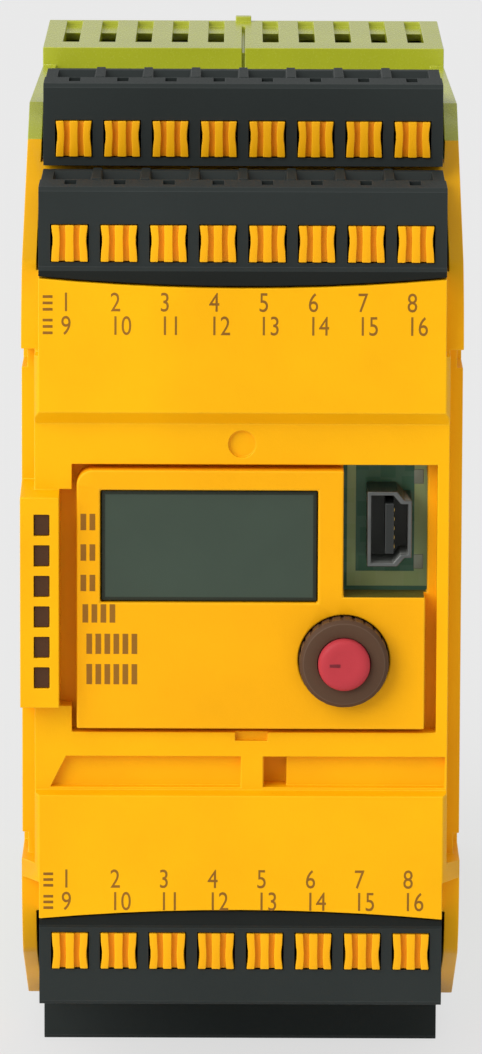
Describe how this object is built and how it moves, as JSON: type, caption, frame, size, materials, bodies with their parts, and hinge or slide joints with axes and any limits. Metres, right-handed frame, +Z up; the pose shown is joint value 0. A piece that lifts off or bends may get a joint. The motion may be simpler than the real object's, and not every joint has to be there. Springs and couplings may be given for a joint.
{
  "type": "safety controller",
  "caption": "Rail-mounted safety controller: tall yellow housing with stepped rows of plug-in spring terminals, a display, a socket, a push-and-turn knob and indicator lights.",
  "frame": {"origin": "mid width and mid height of the housing, on the front plane of the mounting rail", "axes": "+X right seen from the front, +Y from the front back towards the rail, +Z up"},
  "size_m": [0.045, 0.1185, 0.1012],
  "materials": {
    "housing_yellow": "moulded, fine texture",
    "panel_yellow": "moulded, fine texture",
    "housing_green": "moulded, fine texture",
    "terminal_black": "moulded, fine texture",
    "lever_orange": "moulded",
    "latch_black": "moulded",
    "header_black": "moulded",
    "display_glass": "dull reflective display",
    "light_pipe": "clear smoked",
    "circuit_board": "solder resist",
    "socket_metal": "stamped sheet",
    "socket_insert": "moulded",
    "knob_dark": "moulded",
    "knob_red": "moulded",
    "encoder_metal": "plated",
    "clamp_metal": "tinned",
    "spring_steel": "spring steel"
  },
  "bodies": {
    "housing": {"rear_housing": "housing_green", "front_housing": "housing_yellow", "control_panel": "panel_yellow", "lcd_glass": "display_glass", "lcd_frame": "header_black", "led_light_pipes": "light_pipe", "front_board": "circuit_board", "main_boards": "circuit_board", "terminal_boards": "circuit_board", "pin_headers": "header_black", "usb_shell": "socket_metal", "usb_tongue": "socket_insert", "encoder_body": "encoder_metal", "latch_spring": "spring_steel"},
    "block_top_rear": {"terminal_top_rear": "terminal_black", "clamps_top_rear": "clamp_metal"},
    "block_top_front": {"terminal_top_front": "terminal_black", "clamps_top_front": "clamp_metal"},
    "block_bottom_front": {"terminal_bottom_front": "terminal_black", "clamps_bottom_front": "clamp_metal"},
    "block_bottom_rear": {"terminal_bottom_rear": "terminal_black", "clamps_bottom_rear": "clamp_metal"},
    "knob_push": {"encoder_plunger": "encoder_metal"},
    "knob": {"encoder_shaft": "encoder_metal", "knob_ring": "knob_dark", "knob_cap": "knob_red"},
    "latch": {"rail_latch": "latch_black"},
    "lever_top_rear_1": {"lever_top_rear_1": "lever_orange"},
    "lever_top_rear_2": {"lever_top_rear_2": "lever_orange"},
    "lever_top_rear_3": {"lever_top_rear_3": "lever_orange"},
    "lever_top_rear_4": {"lever_top_rear_4": "lever_orange"},
    "lever_top_rear_5": {"lever_top_rear_5": "lever_orange"},
    "lever_top_rear_6": {"lever_top_rear_6": "lever_orange"},
    "lever_top_rear_7": {"lever_top_rear_7": "lever_orange"},
    "lever_top_rear_8": {"lever_top_rear_8": "lever_orange"},
    "lever_top_front_1": {"lever_top_front_1": "lever_orange"},
    "lever_top_front_2": {"lever_top_front_2": "lever_orange"},
    "lever_top_front_3": {"lever_top_front_3": "lever_orange"},
    "lever_top_front_4": {"lever_top_front_4": "lever_orange"},
    "lever_top_front_5": {"lever_top_front_5": "lever_orange"},
    "lever_top_front_6": {"lever_top_front_6": "lever_orange"},
    "lever_top_front_7": {"lever_top_front_7": "lever_orange"},
    "lever_top_front_8": {"lever_top_front_8": "lever_orange"},
    "lever_bottom_front_1": {"lever_bottom_front_1": "lever_orange"},
    "lever_bottom_front_2": {"lever_bottom_front_2": "lever_orange"},
    "lever_bottom_front_3": {"lever_bottom_front_3": "lever_orange"},
    "lever_bottom_front_4": {"lever_bottom_front_4": "lever_orange"},
    "lever_bottom_front_5": {"lever_bottom_front_5": "lever_orange"},
    "lever_bottom_front_6": {"lever_bottom_front_6": "lever_orange"},
    "lever_bottom_front_7": {"lever_bottom_front_7": "lever_orange"},
    "lever_bottom_front_8": {"lever_bottom_front_8": "lever_orange"},
    "lever_bottom_rear_1": {"lever_bottom_rear_1": "lever_orange"},
    "lever_bottom_rear_2": {"lever_bottom_rear_2": "lever_orange"},
    "lever_bottom_rear_3": {"lever_bottom_rear_3": "lever_orange"},
    "lever_bottom_rear_4": {"lever_bottom_rear_4": "lever_orange"},
    "lever_bottom_rear_5": {"lever_bottom_rear_5": "lever_orange"},
    "lever_bottom_rear_6": {"lever_bottom_rear_6": "lever_orange"},
    "lever_bottom_rear_7": {"lever_bottom_rear_7": "lever_orange"},
    "lever_bottom_rear_8": {"lever_bottom_rear_8": "lever_orange"}
  },
  "joints": [
    {"name": "pull_top_rear", "type": "slide", "parent": "housing", "child": "block_top_rear", "axis": [0, -1, 0], "range_m": [0, 0.012]},
    {"name": "pull_top_front", "type": "slide", "parent": "housing", "child": "block_top_front", "axis": [0, -1, 0], "range_m": [0, 0.012]},
    {"name": "pull_bottom_front", "type": "slide", "parent": "housing", "child": "block_bottom_front", "axis": [0, -1, 0], "range_m": [0, 0.012]},
    {"name": "pull_bottom_rear", "type": "slide", "parent": "housing", "child": "block_bottom_rear", "axis": [0, -1, 0], "range_m": [0, 0.012]},
    {"name": "knob_press", "type": "slide", "parent": "housing", "child": "knob_push", "axis": [0, 1, 0], "range_m": [0, 0.0005], "stiffness_N_per_m": 500},
    {"name": "knob_turn", "type": "hinge", "parent": "knob_push", "child": "knob", "pos_m": [0.01045, -0.11, -0.00615], "axis": [0, -1, 0], "continuous": true},
    {"name": "latch_pull", "type": "slide", "parent": "housing", "child": "latch", "axis": [0, 0, -1], "range_m": [0, 0.0025], "stiffness_N_per_m": 900, "deforming": ["latch_spring"]},
    {"name": "press_top_rear_1", "type": "slide", "parent": "block_top_rear", "child": "lever_top_rear_1", "axis": [0, 1, 0], "range_m": [0, 0.0016], "stiffness_N_per_m": 300},
    {"name": "press_top_rear_2", "type": "slide", "parent": "block_top_rear", "child": "lever_top_rear_2", "axis": [0, 1, 0], "range_m": [0, 0.0016], "stiffness_N_per_m": 300},
    {"name": "press_top_rear_3", "type": "slide", "parent": "block_top_rear", "child": "lever_top_rear_3", "axis": [0, 1, 0], "range_m": [0, 0.0016], "stiffness_N_per_m": 300},
    {"name": "press_top_rear_4", "type": "slide", "parent": "block_top_rear", "child": "lever_top_rear_4", "axis": [0, 1, 0], "range_m": [0, 0.0016], "stiffness_N_per_m": 300},
    {"name": "press_top_rear_5", "type": "slide", "parent": "block_top_rear", "child": "lever_top_rear_5", "axis": [0, 1, 0], "range_m": [0, 0.0016], "stiffness_N_per_m": 300},
    {"name": "press_top_rear_6", "type": "slide", "parent": "block_top_rear", "child": "lever_top_rear_6", "axis": [0, 1, 0], "range_m": [0, 0.0016], "stiffness_N_per_m": 300},
    {"name": "press_top_rear_7", "type": "slide", "parent": "block_top_rear", "child": "lever_top_rear_7", "axis": [0, 1, 0], "range_m": [0, 0.0016], "stiffness_N_per_m": 300},
    {"name": "press_top_rear_8", "type": "slide", "parent": "block_top_rear", "child": "lever_top_rear_8", "axis": [0, 1, 0], "range_m": [0, 0.0016], "stiffness_N_per_m": 300},
    {"name": "press_top_front_1", "type": "slide", "parent": "block_top_front", "child": "lever_top_front_1", "axis": [0, 1, 0], "range_m": [0, 0.0016], "stiffness_N_per_m": 300},
    {"name": "press_top_front_2", "type": "slide", "parent": "block_top_front", "child": "lever_top_front_2", "axis": [0, 1, 0], "range_m": [0, 0.0016], "stiffness_N_per_m": 300},
    {"name": "press_top_front_3", "type": "slide", "parent": "block_top_front", "child": "lever_top_front_3", "axis": [0, 1, 0], "range_m": [0, 0.0016], "stiffness_N_per_m": 300},
    {"name": "press_top_front_4", "type": "slide", "parent": "block_top_front", "child": "lever_top_front_4", "axis": [0, 1, 0], "range_m": [0, 0.0016], "stiffness_N_per_m": 300},
    {"name": "press_top_front_5", "type": "slide", "parent": "block_top_front", "child": "lever_top_front_5", "axis": [0, 1, 0], "range_m": [0, 0.0016], "stiffness_N_per_m": 300},
    {"name": "press_top_front_6", "type": "slide", "parent": "block_top_front", "child": "lever_top_front_6", "axis": [0, 1, 0], "range_m": [0, 0.0016], "stiffness_N_per_m": 300},
    {"name": "press_top_front_7", "type": "slide", "parent": "block_top_front", "child": "lever_top_front_7", "axis": [0, 1, 0], "range_m": [0, 0.0016], "stiffness_N_per_m": 300},
    {"name": "press_top_front_8", "type": "slide", "parent": "block_top_front", "child": "lever_top_front_8", "axis": [0, 1, 0], "range_m": [0, 0.0016], "stiffness_N_per_m": 300},
    {"name": "press_bottom_front_1", "type": "slide", "parent": "block_bottom_front", "child": "lever_bottom_front_1", "axis": [0, 1, 0], "range_m": [0, 0.0016], "stiffness_N_per_m": 300},
    {"name": "press_bottom_front_2", "type": "slide", "parent": "block_bottom_front", "child": "lever_bottom_front_2", "axis": [0, 1, 0], "range_m": [0, 0.0016], "stiffness_N_per_m": 300},
    {"name": "press_bottom_front_3", "type": "slide", "parent": "block_bottom_front", "child": "lever_bottom_front_3", "axis": [0, 1, 0], "range_m": [0, 0.0016], "stiffness_N_per_m": 300},
    {"name": "press_bottom_front_4", "type": "slide", "parent": "block_bottom_front", "child": "lever_bottom_front_4", "axis": [0, 1, 0], "range_m": [0, 0.0016], "stiffness_N_per_m": 300},
    {"name": "press_bottom_front_5", "type": "slide", "parent": "block_bottom_front", "child": "lever_bottom_front_5", "axis": [0, 1, 0], "range_m": [0, 0.0016], "stiffness_N_per_m": 300},
    {"name": "press_bottom_front_6", "type": "slide", "parent": "block_bottom_front", "child": "lever_bottom_front_6", "axis": [0, 1, 0], "range_m": [0, 0.0016], "stiffness_N_per_m": 300},
    {"name": "press_bottom_front_7", "type": "slide", "parent": "block_bottom_front", "child": "lever_bottom_front_7", "axis": [0, 1, 0], "range_m": [0, 0.0016], "stiffness_N_per_m": 300},
    {"name": "press_bottom_front_8", "type": "slide", "parent": "block_bottom_front", "child": "lever_bottom_front_8", "axis": [0, 1, 0], "range_m": [0, 0.0016], "stiffness_N_per_m": 300},
    {"name": "press_bottom_rear_1", "type": "slide", "parent": "block_bottom_rear", "child": "lever_bottom_rear_1", "axis": [0, 1, 0], "range_m": [0, 0.0016], "stiffness_N_per_m": 300},
    {"name": "press_bottom_rear_2", "type": "slide", "parent": "block_bottom_rear", "child": "lever_bottom_rear_2", "axis": [0, 1, 0], "range_m": [0, 0.0016], "stiffness_N_per_m": 300},
    {"name": "press_bottom_rear_3", "type": "slide", "parent": "block_bottom_rear", "child": "lever_bottom_rear_3", "axis": [0, 1, 0], "range_m": [0, 0.0016], "stiffness_N_per_m": 300},
    {"name": "press_bottom_rear_4", "type": "slide", "parent": "block_bottom_rear", "child": "lever_bottom_rear_4", "axis": [0, 1, 0], "range_m": [0, 0.0016], "stiffness_N_per_m": 300},
    {"name": "press_bottom_rear_5", "type": "slide", "parent": "block_bottom_rear", "child": "lever_bottom_rear_5", "axis": [0, 1, 0], "range_m": [0, 0.0016], "stiffness_N_per_m": 300},
    {"name": "press_bottom_rear_6", "type": "slide", "parent": "block_bottom_rear", "child": "lever_bottom_rear_6", "axis": [0, 1, 0], "range_m": [0, 0.0016], "stiffness_N_per_m": 300},
    {"name": "press_bottom_rear_7", "type": "slide", "parent": "block_bottom_rear", "child": "lever_bottom_rear_7", "axis": [0, 1, 0], "range_m": [0, 0.0016], "stiffness_N_per_m": 300},
    {"name": "press_bottom_rear_8", "type": "slide", "parent": "block_bottom_rear", "child": "lever_bottom_rear_8", "axis": [0, 1, 0], "range_m": [0, 0.0016], "stiffness_N_per_m": 300}
  ]
}
